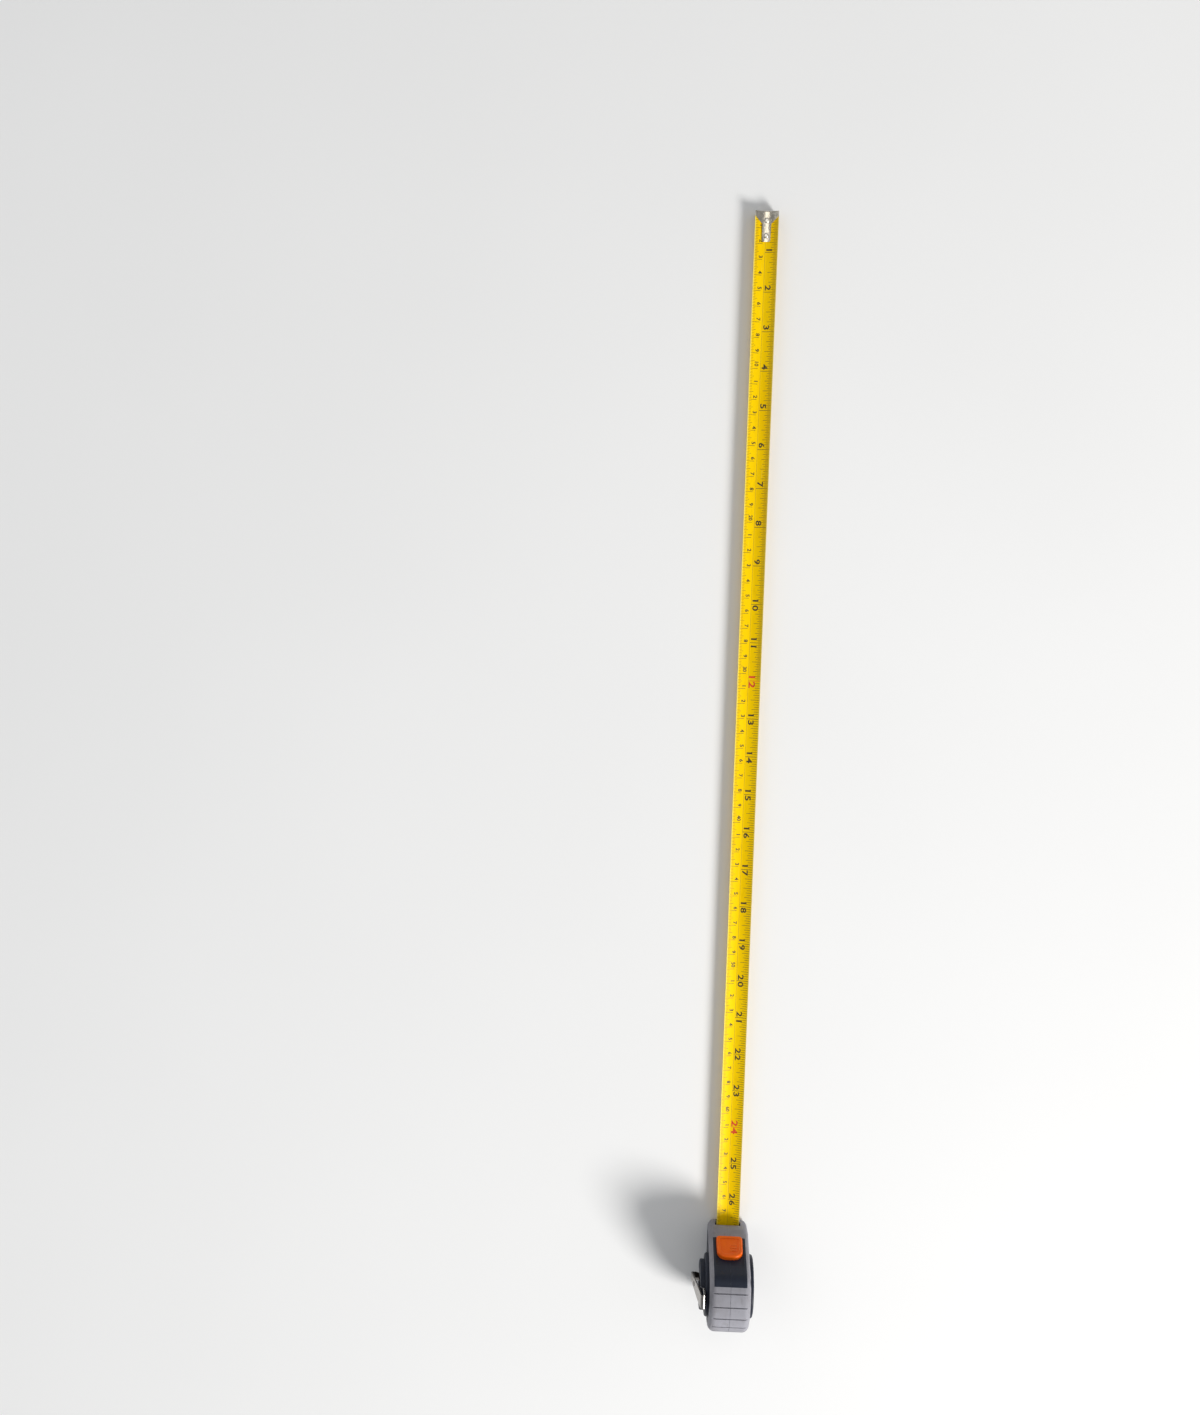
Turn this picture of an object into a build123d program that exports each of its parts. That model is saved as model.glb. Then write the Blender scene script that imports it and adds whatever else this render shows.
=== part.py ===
from build123d import *
import math
import os

os.makedirs("parts", exist_ok=True)

# Pocket tape measure, 16 mm wide blade, 3 m long, with 677 mm of the blade drawn out.
# Frame: +X is the way the blade is drawn out, +Y is the belt clip's side, +Z is up.
# The origin is on the flat base, on the parting plane. All sizes are in millimetres.

# ---- driving dimensions -------------------------------------------------------------
HALF = 13.5            # half width of the case body
REEL_X, REEL_Z = -1.2, 30.2   # reel axis, parallel to Y
R_BACK = 28.8          # radius of the round back and top
NOSE_X = 31.5          # front face of the nose
NOSE_TOP = 16.5        # where the nose turns into the sloping front
SLOPE = (-16.0, 37.0)  # direction of the sloping front, going up
REAR_ANGLE = 200.0     # where the round back ends and the rear foot begins, degrees
EDGE_R = 4.4           # rounding of the case's long edges
GRIP_T = 1.3           # thickness of the rubber overmould
WALL = 2.0             # thickness of the plastic shell behind it
SIDE_BAND = 5.0        # width of the rubber band on the side faces
CAVITY_HALF = 11.0     # half width of the hollow inside

DISC_R = 20.0          # round raised boss on each side
DISC_H = 2.4
LABEL_R, LABEL_T = 16.4, 0.5
HUB_R, HUB_H = 16.0, 3.3   # two raised pads on the left boss, one each side of the clip
HUB_SLOT = 9.8         # width of the recess between them

PANEL_HALF = 10.8      # bare plastic panel behind the lock button
PANEL_TOP_DEG = 66.5
PANEL_LOW_T = 7.6        # its lower edge, along the slope from the nose's top
RIB_DEG = (74.8, 92.5, 110.0, 127.5, 145.0, 162.5, 180.0)   # grooves in the rubber back
RIB_W, RIB_D = 0.85, 0.75
RIB_HALF = 12.2

BLADE_W = 16.0         # width of the strip along its curve
BLADE_R = 16.7         # radius of the strip's trough
BLADE_T = 0.16
BLADE_Z = 7.0          # underside of the strip at its middle
DRAWN = 677.0          # length drawn out, from the nose to the inside of the hook
HOOK_PLAY = 0.8        # the hook's own slide, one hook thickness
HOOK_T = 0.8
END_LEN = 24.0         # last stretch of the strip, which carries the hook

MOUTH_HALF, MOUTH_LOW, MOUTH_HIGH = 8.7, 5.4, 11.2

DRUM_R, DRUM_WALL, DRUM_HALF = 16.4, 1.2, 8.2
ARBOR_R = 4.0
COIL_R0, COIL_PITCH, COIL_T, COIL_TURNS = 16.46, 0.15, 0.12, 20
SPRING_R0, SPRING_PITCH, SPRING_T, SPRING_TURNS = 5.0, 0.92, 0.30, 10
SPRING_HALF = 6.6

SCREW_DEG = (60.0, 137.0, 214.0)
SCREW_RAD = 23.4       # distance of the case screws from the reel axis

LOCK_TRAVEL = 5.0
BUTTON_W, BUTTON_L, BUTTON_H = 17.4, 17.4, 3.0
BUTTON_LOW = 8.4      # button's lower end, along the slope from the nose's top

CLIP_W, CLIP_T = 9.0, 0.9
CLIP_BEND, CLIP_FLARE, CLIP_LEG = 1.3, 8.0, 34.4   # bend radius, angle and length of the outer leg

# ---- small helpers ------------------------------------------------------------------
def at_side(y):
    """XZ plane at that y, with local x along +X and local y along +Z, facing +Y."""
    return Plane(origin=(0, y, 0), x_dir=(-1, 0, 0), z_dir=(0, 1, 0))


def xz(face, y0, y1):
    """Extrudes a sketch drawn with x, z coordinates on Plane.XZ from y0 to y1."""
    moved = face.moved(Location((0, y0, 0)))
    return extrude(moved, amount=-(y1 - y0))


def ring(r, z=None):
    return Location((REEL_X, 0, REEL_Z))


def cyl_y(r, y0, y1, x=REEL_X, z=REEL_Z):
    """Cylinder about an axis parallel to Y."""
    c = Cylinder(r, y1 - y0, align=(Align.CENTER, Align.CENTER, Align.MIN))
    return Location((x, y0, z), (-90, 0, 0)) * c


def box(x0, x1, y0, y1, z0, z1):
    return Location(((x0 + x1) / 2, (y0 + y1) / 2, (z0 + z1) / 2)) * Box(x1 - x0, y1 - y0, z1 - z0)


def poly_xz(points):
    return Plane.XZ * make_face(Polyline(*[(p[0], p[1]) for p in points], close=True))


def polar(r, deg, x=REEL_X, z=REEL_Z):
    a = math.radians(deg)
    return (x + r * math.cos(a), z + r * math.sin(a))


def solids_of(shape):
    return list(shape.solids())


def write(name, shape):
    got = solids_of(shape)
    if len(got) == 1:
        out = got[0]
    else:
        out = Compound(children=got)
    out.label = name
    export_step(out, f"parts/{name}.step")
    print(f"{name}: {len(got)} solid(s), {sum(s.volume for s in got):.1f} mm3")


SL = math.hypot(*SLOPE)
UX, UZ = SLOPE[0] / SL, SLOPE[1] / SL        # up the sloping front
NX, NZ = UZ, -UX                             # out of the sloping front


def front(t, out=0.0):
    """Point on the sloping front: t up the slope from the nose's top, out of it by out."""
    return (NOSE_X + UX * t + NX * out, NOSE_TOP + UZ * t + NZ * out)


# ---- side profile of the case -------------------------------------------------------
def profile(inset=0.0):
    r = R_BACK - inset
    # the slope meets the round back
    px, pz = front(0, -inset)
    bx, bz = px - REEL_X, pz - REEL_Z
    b = bx * UX + bz * UZ
    c = bx * bx + bz * bz - r * r
    t = -b + math.sqrt(b * b - c)
    top = (px + UX * t, pz + UZ * t)
    a0 = math.degrees(math.atan2(top[1] - REEL_Z, top[0] - REEL_X))
    mid = polar(r, (a0 + REAR_ANGLE) / 2)
    rear = polar(r, REAR_ANGLE)
    # the rear foot runs down along the circle's tangent to the base
    ta = math.radians(REAR_ANGLE)
    tx, tz = -math.sin(ta), math.cos(ta)
    k = (inset - rear[1]) / tz
    foot = (rear[0] + tx * k, inset)
    # the nose: its face is upright, and the slope begins at NOSE_TOP
    nx = NOSE_X - inset
    s = (nx - px) / UX
    bend = (nx, pz + UZ * s)
    pts = [foot, (nx, inset), bend, top]
    edges = Polyline(*pts).edges() + [ThreePointArc(top, mid, rear), Line(rear, foot)]
    face = make_face(Wire(edges))
    vs = face.vertices()

    def near(p):
        return sorted(vs, key=lambda v: (v.X - p[0]) ** 2 + (v.Y - p[1]) ** 2)[0]

    face = fillet(near(foot), max(8.0 - inset, 1.0))
    vs = face.vertices()
    face = fillet(near((nx, inset)), max(2.6 - inset, 0.5) if inset < 2 else 0.6)
    vs = face.vertices()
    face = fillet(near(bend), max(7.0 - inset, 2.0))
    vs = face.vertices()
    face = fillet(near(top), max(10.0 - inset, 3.0))
    return Plane.XZ * face


def slab(inset, half, edge=0.0):
    s = xz(profile(inset), -half, half)
    if edge > 0:
        rim = [e for e in s.edges() if abs(abs(e.center().Y) - half) < 1e-3]
        s = fillet(rim, edge)
    return s


body = slab(0.0, HALF, EDGE_R)
core = slab(GRIP_T, HALF - GRIP_T, EDGE_R - GRIP_T)
cavity = slab(GRIP_T + WALL, CAVITY_HALF)
side_window = slab(SIDE_BAND, HALF + 1)
# the rubber leaves the case screws free
for deg in SCREW_DEG:
    x, z = polar(SCREW_RAD, deg)
    side_window = side_window + cyl_y(3.2, -HALF - 1, -HALF + 3, x, z)

# the bare panel behind the button
wedge = poly_xz([(REEL_X, REEL_Z), front(PANEL_LOW_T, -30), front(PANEL_LOW_T, 10), (60, 80), polar(60, PANEL_TOP_DEG)])
panel = xz(wedge, -PANEL_HALF, PANEL_HALF)

print("case solids made")

# ---- case shells --------------------------------------------------------------------
# fine groove that marks the parting line, above the base only
seam = xz(profile(0.0), -0.14, 0.14) - xz(profile(0.28), -0.14, 0.14)
seam = seam & box(-60, 60, -1, 1, 3.0, 80)

rubber = body - core - side_window - panel
plastic = (body & (core + side_window + panel)) - cavity

# grooves of the rubber back, straight across
grooves = None
for deg in RIB_DEG:
    a, b = polar(R_BACK - RIB_D, deg), polar(R_BACK + 4, deg)
    nx_, nz_ = -math.sin(math.radians(deg)) * RIB_W / 2, math.cos(math.radians(deg)) * RIB_W / 2
    cut = xz(poly_xz([(a[0] - nx_, a[1] - nz_), (b[0] - nx_, b[1] - nz_), (b[0] + nx_, b[1] + nz_), (a[0] + nx_, a[1] + nz_)]), -RIB_HALF, RIB_HALF)
    grooves = cut if grooves is None else grooves + cut
rubber = rubber - grooves

# round bosses on the sides
def disc(side):
    y0, y1 = (HALF - 1.0, HALF + DISC_H) if side > 0 else (-HALF - DISC_H, -HALF + 1.0)
    d = cyl_y(DISC_R, y0, y1)
    outer = side * (HALF + DISC_H)
    rim = [e for e in d.edges() if e.geom_type == GeomType.CIRCLE and abs(e.center().Y - outer) < 1e-3]
    return fillet(rim, 1.3)


plastic = plastic + disc(1) + disc(-1)
hub = cyl_y(HUB_R, HALF + 1.0, HALF + DISC_H + HUB_H)
hub = hub - box(REEL_X - HUB_SLOT / 2, REEL_X + HUB_SLOT / 2, HALF, HALF + 20, -10, 90)
tops = [e for e in hub.edges() if abs(e.center().Y - (HALF + DISC_H + HUB_H)) < 1e-3]
hub = fillet(tops, 0.9)
plastic = plastic + hub
rubber = rubber - disc(1) - disc(-1)

# the mouth, the bumper's pocket and the button's slot
mouth = box(20, NOSE_X + 5, -MOUTH_HALF, MOUTH_HALF, MOUTH_LOW, MOUTH_HIGH)
BUMP = (28.6, NOSE_X, -8.0, 8.0, 1.9, MOUTH_LOW)
bump_pocket = box(*[BUMP[0], NOSE_X + 5, BUMP[2], BUMP[3], BUMP[4], BUMP[5]])
SLOT_LOW, SLOT_HIGH, SLOT_HALF = 11.2, 25.4, 3.3
slot = xz(poly_xz([front(SLOT_LOW, -9), front(SLOT_HIGH, -9), front(SLOT_HIGH, 4), front(SLOT_LOW, 4)]), -SLOT_HALF, SLOT_HALF)
# the button runs in a shallow tray
TRAY_LOW, TRAY_HIGH, TRAY_HALF, TRAY_D = BUTTON_LOW - 0.5, BUTTON_LOW + BUTTON_L + LOCK_TRAVEL + 0.4, BUTTON_W / 2 + 0.5, 0.8
tray = xz(poly_xz([front(TRAY_LOW, -TRAY_D), front(TRAY_HIGH, -TRAY_D), front(TRAY_HIGH, 6), front(TRAY_LOW, 6)]), -TRAY_HALF, TRAY_HALF)

plastic = plastic - mouth - bump_pocket - slot - tray
rubber = rubber - mouth - bump_pocket - slot - tray

# screw posts, one per screw, split at the parting plane
posts = None
for deg in SCREW_DEG:
    x, z = polar(SCREW_RAD, deg)
    p = cyl_y(2.75, -HALF + 1.5, HALF - 1.5, x, z)
    posts = p if posts is None else posts + p
posts = posts & core
plastic = plastic + posts

# ribs that carry the liners
ribs = (cyl_y(10.9, 9.0, CAVITY_HALF + 0.5) - cyl_y(9.7, 8.0, CAVITY_HALF + 1)) + (cyl_y(10.9, -CAVITY_HALF - 0.5, -9.0) - cyl_y(9.7, -CAVITY_HALF - 1, -8.0))
plastic = plastic + ribs

# pockets for the arbor's square ends, and the label's recess
for s in (1, -1):
    y0, y1 = sorted((s * (CAVITY_HALF - 0.5), s * (CAVITY_HALF + 1.1)))
    plastic = plastic - box(REEL_X - 2.85, REEL_X + 2.85, y0, y1, REEL_Z - 2.85, REEL_Z + 2.85)
plastic = plastic - cyl_y(LABEL_R, -HALF - DISC_H - 1, -HALF - DISC_H + LABEL_T)

# screw holes
HEAD_Y = -HALF + 1.3
for deg in SCREW_DEG:
    x, z = polar(SCREW_RAD, deg)
    hole = cyl_y(2.2, -HALF - 2, HEAD_Y + 1.6, x, z) + cyl_y(1.5, HEAD_Y, 0.0, x, z) + cyl_y(1.3, -0.5, 8.5, x, z)
    plastic = plastic - hole
    rubber = rubber - cyl_y(2.2, -HALF - 2, HEAD_Y + 1.6, x, z)
# the belt clip's screw passes through the left wall into the arbor
plastic = plastic - cyl_y(1.65, CAVITY_HALF - 1, HALF + DISC_H + 1)

plastic = plastic - seam
rubber = rubber - seam

left_half = box(-80, 80, 0, 40, -20, 90)
right_half = box(-80, 80, -40, 0, -20, 90)


def keep_main(shape, least=2.0):
    got = [s for s in shape.solids() if s.volume > least]
    return Compound(children=got) if len(got) > 1 else got[0]


case_left = keep_main(plastic & left_half)
case_right = keep_main(plastic & right_half)
grip_left = keep_main(rubber & left_half)
grip_right = keep_main(rubber & right_half)
write("case_left", case_left)
write("case_right", case_right)
write("grip_left", grip_left)
write("grip_right", grip_right)

# ---- screws -------------------------------------------------------------------------
screws = []
for deg in SCREW_DEG:
    x, z = polar(SCREW_RAD, deg)
    head = cyl_y(2.05, HEAD_Y - 0.1, HEAD_Y + 1.6, x, z)
    rim = [e for e in head.edges() if e.geom_type == GeomType.CIRCLE and abs(e.center().Y - (HEAD_Y - 0.1)) < 1e-3]
    head = fillet(rim, 0.7)
    shank = cyl_y(1.3, HEAD_Y + 1.6, 8.0, x, z)
    cross = box(x - 1.4, x + 1.4, HEAD_Y - 1, HEAD_Y + 0.8, z - 0.3, z + 0.3) + box(x - 0.3, x + 0.3, HEAD_Y - 1, HEAD_Y + 0.8, z - 1.4, z + 1.4)
    screws += solids_of(head + shank - cross)
write("case_screws", Compound(children=screws))

# ---- label --------------------------------------------------------------------------
label = cyl_y(LABEL_R - 0.1, -HALF - DISC_H, -HALF - DISC_H + LABEL_T)
label = label - (cyl_y(14.6, -HALF - DISC_H - 1, -HALF - DISC_H + 0.15) - cyl_y(14.2, -HALF - DISC_H - 2, -HALF - DISC_H + 0.5))
write("side_label", label)

# ---- arbor --------------------------------------------------------------------------
arbor = cyl_y(ARBOR_R, -CAVITY_HALF + 0.02, CAVITY_HALF - 0.02)
for s in (1, -1):
    y0, y1 = sorted((s * (CAVITY_HALF - 1), s * (CAVITY_HALF + 0.95)))
    arbor = arbor + box(REEL_X - 2.8, REEL_X + 2.8, y0, y1, REEL_Z - 2.8, REEL_Z + 2.8)
arbor = arbor - box(REEL_X + 1.7, REEL_X + 5, -SPRING_HALF - 0.2, SPRING_HALF + 0.2, REEL_Z - 0.3, REEL_Z + 0.3)
arbor = arbor - cyl_y(1.5, 2.0, 20)
write("arbor", arbor)

# ---- reel ---------------------------------------------------------------------------
drum = cyl_y(DRUM_R, -DRUM_HALF, DRUM_HALF) - cyl_y(DRUM_R - DRUM_WALL, -DRUM_HALF + 1.2, DRUM_HALF + 1)
drum = drum - cyl_y(ARBOR_R + 0.08, -DRUM_HALF - 1, DRUM_HALF)
drum = drum + (cyl_y(ARBOR_R + 1.4, -DRUM_HALF - 0.3, -DRUM_HALF + 1.2) - cyl_y(ARBOR_R + 0.08, -DRUM_HALF - 1, 0))
# the notch that the blade's inner end hooks into
drum = drum - box(REEL_X - 0.5, REEL_X + 0.5, -4.0, 4.0, REEL_Z + DRUM_R - 1.0, REEL_Z + DRUM_R + 1)
for k in range(6):
    x, z = polar(10.3, 30 + 60 * k)
    drum = drum - cyl_y(2.6, -DRUM_HALF - 1, -DRUM_HALF + 2, x, z)
write("reel_drum", drum)

cover = cyl_y(DRUM_R - DRUM_WALL, DRUM_HALF - 1.2, DRUM_HALF) - cyl_y(ARBOR_R + 0.08, DRUM_HALF - 3, DRUM_HALF + 2)
write("reel_cover", cover)


# ---- spirals ------------------------------------------------------------------------
def spiral_strip(r0, pitch, thick, turns, half, start=0.0, tab=0.0):
    """A flat strip wound on the reel axis: half circles whose centres alternate, so that the radius grows by pitch each turn."""
    inner, outer = [], []

    def arcs(off):
        got = []
        r = r0 + off
        n = int(turns * 2)
        x = REEL_X + r
        for k in range(n):
            step = pitch / 2
            d = 1 if k % 2 == 0 else -1
            # this half circle runs from the +X side to the -X side, or back
            rr = r + step * (k + 0.5)
            cx = x - d * rr
            p0 = (x, REEL_Z)
            pm = (cx, REEL_Z + rr * (1 if d > 0 else -1))
            p1 = (cx - d * rr, REEL_Z)
            got.append(ThreePointArc(p0, pm, p1))
            x = p1[0]
        return got, (REEL_X + r, REEL_Z), (x, REEL_Z)

    a, a0, a1 = arcs(0.0)
    b, b0, b1 = arcs(thick)
    edges = a + [Line(a1, b1)] + b[::-1] + [Line(b0, a0)]
    face = make_face(Wire([e.edge() if hasattr(e, "edge") and not isinstance(e, Edge) else e for e in edges]))
    return xz(Plane.XZ * face, -half, half)


spring = spiral_strip(SPRING_R0, SPRING_PITCH, SPRING_T, SPRING_TURNS, SPRING_HALF)
# the inner end reaches into the arbor's slot
spring = spring + box(REEL_X + 2.2, REEL_X + SPRING_R0 + SPRING_T, -SPRING_HALF, SPRING_HALF, REEL_Z - 0.15, REEL_Z + 0.15)
write("return_spring", spring)

coil = spiral_strip(COIL_R0, COIL_PITCH, COIL_T, COIL_TURNS, BLADE_W / 2)
write("blade_coil", coil)
coil_r = COIL_R0 + COIL_PITCH * COIL_TURNS
print("coil outer radius", coil_r, "length", 2 * math.pi * COIL_TURNS * (COIL_R0 + coil_r) / 2)

for s, n in ((1, "reel_liner_left"), (-1, "reel_liner_right")):
    y0, y1 = sorted((s * 8.65, s * 8.9))
    write(n, cyl_y(20.4, y0, y1) - cyl_y(ARBOR_R + 1.7, y0 - 1, y1 + 1))

# ---- blade --------------------------------------------------------------------------
def trough(x, z=BLADE_Z, t=BLADE_T, width=BLADE_W, r=BLADE_R):
    """Cross section of the strip at x: a shallow trough, hollow side up. r is the radius of its underside."""
    a = width / r / 2

    def p(rad, ang):
        return (rad * math.sin(ang), z + r - rad * math.cos(ang))

    lo0, lom, lo1 = p(r, -a), p(r, 0), p(r, a)
    hi0, him, hi1 = p(r - t, -a), p(r - t, 0), p(r - t, a)
    face = make_face(Wire([ThreePointArc(lo0, lom, lo1).edge(), Line(lo1, hi1).edge(), ThreePointArc(hi1, him, hi0).edge(), Line(hi0, lo0).edge()]))
    return Plane(origin=(x, 0, 0), x_dir=(0, 1, 0), z_dir=(1, 0, 0)) * face


def flat_section(x, z, half=BLADE_W / 2, t=BLADE_T):
    face = make_face(Polyline((-half, z), (half, z), (half, z + t), (-half, z + t), close=True))
    return Plane(origin=(x, 0, 0), x_dir=(0, 1, 0), z_dir=(1, 0, 0)) * face


tip_x = NOSE_X + DRAWN - HOOK_PLAY          # end of the strip at rest
joint_x = tip_x - END_LEN
lead_x = 13.0
lead_z = REEL_Z - coil_r - 0.35
stretch = extrude(trough(lead_x), amount=joint_x - lead_x)
lead = loft([flat_section(REEL_X + 1.5, lead_z), trough(lead_x)])
blade = stretch + lead
write("blade", blade)

end_strip = extrude(trough(joint_x), amount=END_LEN)
# clipped corners at the tip
for s in (1, -1):
    corner = Plane.XY * make_face(Polyline((tip_x - 1.6, s * 9.0), (tip_x + 1, s * 9.0), (tip_x + 1, s * 5.9), (tip_x, s * 5.9), (tip_x - 1.6, s * 7.6), close=True))
    end_strip = end_strip - extrude(corner, amount=20)
inner_hook = NOSE_X + DRAWN                 # inside face of the hook's lip, at rest
RIVETS = (inner_hook - 5.4, inner_hook - 15.0)
for x in RIVETS:
    end_strip = end_strip - Location((x, 0, BLADE_Z)) * Cylinder(1.05, 6)
write("blade_end", end_strip)

# ---- end hook -----------------------------------------------------------------------
plate = extrude(trough(inner_hook - 20, z=BLADE_Z + BLADE_T + 0.02, t=HOOK_T, r=BLADE_R - BLADE_T - 0.02, width=15.9), amount=20 + HOOK_T)
outline = Plane.XY * make_face(Polyline(
    (inner_hook + HOOK_T, -9), (inner_hook + HOOK_T, 9), (inner_hook - 2.6, 9), (inner_hook - 2.6, 7.6), (inner_hook - 7.4, 2.9),
    (inner_hook - 18.2, 2.7), (inner_hook - 18.9, 1.9), (inner_hook - 18.9, -1.9), (inner_hook - 18.2, -2.7),
    (inner_hook - 7.4, -2.9), (inner_hook - 2.6, -7.6), (inner_hook - 2.6, -9), close=True))
plate = plate & extrude(outline, amount=30)
# the lip: its top follows the plate, its bottom stands on the surface
r_in = BLADE_R - BLADE_T - 0.02
a_w = 15.9 / r_in / 2
zc = BLADE_Z + BLADE_T + 0.02 + r_in


def hp(rad, ang):
    return (rad * math.sin(ang), zc - rad * math.cos(ang))


e0, em, e1 = hp(r_in - HOOK_T, -a_w), hp(r_in - HOOK_T, 0), hp(r_in - HOOK_T, a_w)
l0, l1 = hp(r_in, -a_w), hp(r_in, a_w)
lip_face = make_face(Wire([
    ThreePointArc(e0, em, e1).edge(), Line(e1, l1).edge(), Line(l1, (7.4, 6.0)).edge(), Line((7.4, 6.0), (7.0, 1.0)).edge(),
    Line((7.0, 1.0), (6.0, 0.0)).edge(), Line((6.0, 0.0), (-6.0, 0.0)).edge(), Line((-6.0, 0.0), (-7.0, 1.0)).edge(),
    Line((-7.0, 1.0), (-7.4, 6.0)).edge(), Line((-7.4, 6.0), l0).edge(), Line(l0, e0).edge()]))
lip = extrude(Plane(origin=(inner_hook, 0, 0), x_dir=(0, 1, 0), z_dir=(1, 0, 0)) * lip_face, amount=HOOK_T)
hook = plate + lip
outer_bend = [e for e in hook.edges() if e.geom_type == GeomType.CIRCLE and abs(e.center().X - (inner_hook + HOOK_T)) < 1e-3 and e.center().Z > BLADE_Z]
hook = fillet(outer_bend, 0.6)
feet = [e for e in hook.edges() if abs(e.center().Z) < 1e-3 and e.length > 10]
hook = fillet(feet, 0.3)
# slots that let the hook slide by its own thickness on the rivets
for x in RIVETS:
    s = Location((x, 0, BLADE_Z)) * Cylinder(1.15, 8) + Location((x + HOOK_PLAY, 0, BLADE_Z)) * Cylinder(1.15, 8) + box(x, x + HOOK_PLAY, -1.15, 1.15, BLADE_Z - 4, BLADE_Z + 4)
    hook = hook - s
NAIL_R, NAIL_Z = 1.6, 3.7
hook = hook - Location((inner_hook, 0, NAIL_Z), (0, 90, 0)) * Cylinder(NAIL_R, 6)
write("end_hook", hook)

rivets = []
for x in RIVETS:
    base = BLADE_Z - 0.03
    sh = Location((x, 0, base)) * Cylinder(1.05, BLADE_T + HOOK_T + 0.3, align=(Align.CENTER, Align.CENTER, Align.MIN))
    low = Location((x, 0, base - 0.45)) * Cylinder(1.6, 0.45, align=(Align.CENTER, Align.CENTER, Align.MIN))
    top_z = BLADE_Z + BLADE_T + HOOK_T + 0.16
    hi = Location((x, 0, top_z)) * Cylinder(1.65, 0.8, align=(Align.CENTER, Align.CENTER, Align.MIN))
    rim = [e for e in hi.edges() if e.geom_type == GeomType.CIRCLE and e.center().Z > top_z + 0.5]
    hi = fillet(rim, 0.7)
    rivets += solids_of(sh + low + hi)
write("hook_rivets", Compound(children=rivets))

# ---- mouth bumper -------------------------------------------------------------------
bumper = box(BUMP[0], BUMP[1], BUMP[2] + 0.05, BUMP[3] - 0.05, BUMP[4], BUMP[5] + 0.0)
bumper = bumper - (Location((NOSE_X, 0, BUMP[5]), (0, 90, 0)) * Cylinder(2.2, 20))
write("mouth_bumper", bumper)

# ---- lock button and brake ----------------------------------------------------------
slope_plane = Plane(origin=(front(0)[0], 0, front(0)[1]), x_dir=(0, 1, 0), z_dir=(NX, 0, NZ))
# local x is +Y; local y runs up or down the slope
up_sign = 1 if slope_plane.y_dir.Z > 0 else -1


def pad(low, high, w_low, w_high, r_low, r_high):
    """Outline of the button: square at its lower end, rounded at its upper end."""
    f = make_face(Polyline((-w_low / 2, up_sign * low), (w_low / 2, up_sign * low), (w_high / 2, up_sign * high), (-w_high / 2, up_sign * high), close=True))
    vs = f.vertices()
    lo = [v for v in vs if abs(v.Y - up_sign * low) < 1e-6]
    f = fillet(lo, r_low)
    hi = [v for v in f.vertices() if abs(v.Y - up_sign * high) < 1e-6]
    f = fillet(hi, r_high)
    return slope_plane * f


b0, b1 = BUTTON_LOW, BUTTON_LOW + BUTTON_L
GAP = 0.2
floor_ = -TRAY_D + GAP
pad_face = pad(b0, b1, BUTTON_W, BUTTON_W - 0.6, 2.2, 6.0)
button = extrude(pad_face.moved(Location((NX * floor_, 0, NZ * floor_))), amount=BUTTON_H - floor_)
top_edges = [e for e in button.edges() if all(abs((v.X - NOSE_X) * NX + (v.Z - NOSE_TOP) * NZ - BUTTON_H) < 1e-3 for v in e.vertices())]
button = fillet(top_edges, 1.1)
dish = extrude(pad(b0 + 2.2, b1 - 2.2, BUTTON_W - 4.4, BUTTON_W - 5.0, 1.2, 4.0).moved(Location((NX * (BUTTON_H - 0.55), 0, NZ * (BUTTON_H - 0.55)))), amount=3)
button = button - dish
for k in range(3):
    t = b0 + 7.3 + 2.1 * k
    bar = xz(poly_xz([front(t, BUTTON_H - 1.0), front(t + 0.85, BUTTON_H - 1.0), front(t + 0.85, BUTTON_H - 0.12), front(t, BUTTON_H - 0.12)]), -4.7, -0.7)
    button = button + bar
# pocket for the brake's stem
STEM_LOW, STEM_HIGH, STEM_HALF = 11.6, 20.0, 2.9
pocket = xz(poly_xz([front(STEM_LOW - 0.02, -3), front(STEM_HIGH + 0.02, -3), front(STEM_HIGH + 0.02, 1.2), front(STEM_LOW - 0.02, 1.2)]), -STEM_HALF - 0.02, STEM_HALF + 0.02)
button = button - pocket
write("lock_button", button)

depth = GRIP_T + WALL + 0.3            # outer face of the brake strip, under the slope
strip_t = 1.0
A = [front(1.5, -depth), front(31.0, -depth), front(31.0, -depth - strip_t), front(2.0, -depth - strip_t)]
strip = xz(poly_xz(A), -4.8, 4.8)
stem = xz(poly_xz([front(STEM_LOW, -depth - 0.5), front(STEM_HIGH, -depth - 0.5), front(STEM_HIGH, 1.15), front(STEM_LOW, 1.15)]), -STEM_HALF, STEM_HALF)
# two prongs run down and back, each with a pad that bears on the blade's raised sides
PAD = (16.8, 22.6)
k0, k1 = front(3.4, -depth), front(3.4, -depth - strip_t)
prongs = None
for s in (1, -1):
    y0, y1 = sorted((s * 3.7, s * 6.9))
    leg = xz(poly_xz([(27.5, front(1.5, -depth)[1] + 0.4), (27.5, front(1.5, -depth)[1] - 1.4), (PAD[1], 8.0), (PAD[0], 8.0), (PAD[0], 10.0), (PAD[1] - 0.6, 10.3), (25.2, 16.5)]), y0, y1)
    # the pad's underside follows the trough, with 0.1 mm to spare
    bowl = Location((0, 0, BLADE_Z + BLADE_R), (0, 90, 0)) * Cylinder(BLADE_R - BLADE_T - 0.12, 200)
    low = xz(poly_xz([(PAD[0], 6.5), (PAD[1], 6.5), (PAD[1], 9.0), (PAD[0], 9.0)]), y0, y1) & bowl
    leg = (leg & bowl) + low
    prongs = leg if prongs is None else prongs + leg
bridge = xz(poly_xz([front(1.5, -depth), front(6.0, -depth), front(6.0, -depth - strip_t), (25.0, 16.4)]), -6.9, 6.9)
brake = strip + stem + prongs + bridge
write("lock_brake", brake)

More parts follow.
